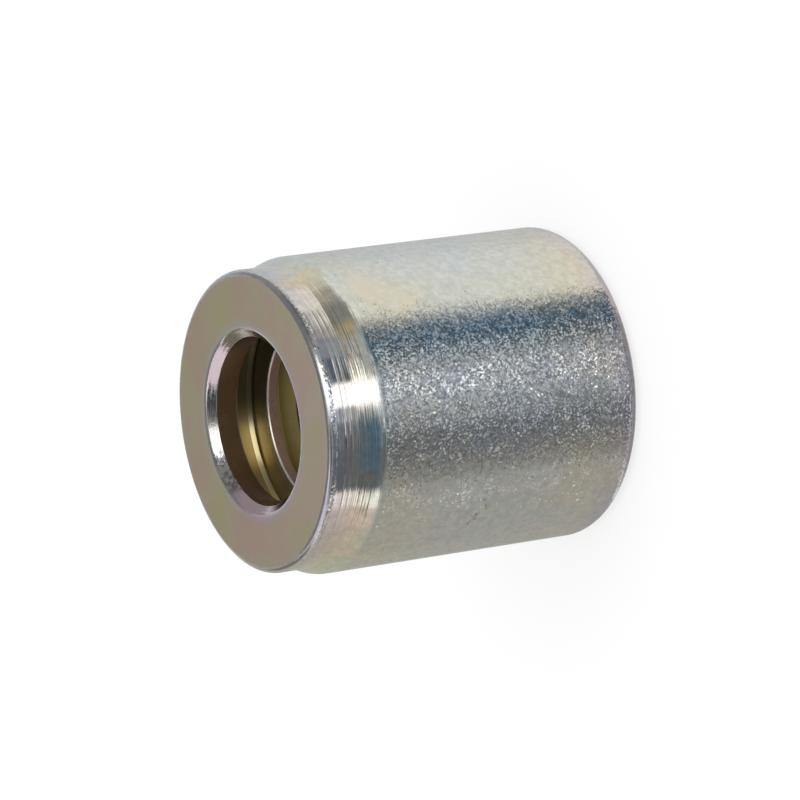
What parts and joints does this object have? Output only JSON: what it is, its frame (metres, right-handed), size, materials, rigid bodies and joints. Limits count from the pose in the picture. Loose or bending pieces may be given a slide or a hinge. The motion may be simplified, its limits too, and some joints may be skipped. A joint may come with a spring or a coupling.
{
  "type": "crimp hose ferrule",
  "caption": "Round steel crimp sleeve for a hydraulic hose, with a ribbed hose bore, a locking groove inside and a smaller bored nose that closes round the hose insert.",
  "frame": {"origin": "centre of the open hose-end rim, at the bottom of the part", "axes": "+Z along the axis of the sleeve, from the hose end up to the nose; X and Y are any two directions square to it, because the part is round"},
  "size_m": [0.028, 0.028, 0.0315],
  "materials": {
    "zinc_plate": "zinc plated with a thin yellowish passivate, fine grained on the sleeve and turned bright on the nose"
  },
  "bodies": {
    "root": {"ferrule": "zinc_plate"}
  },
  "joints": []
}
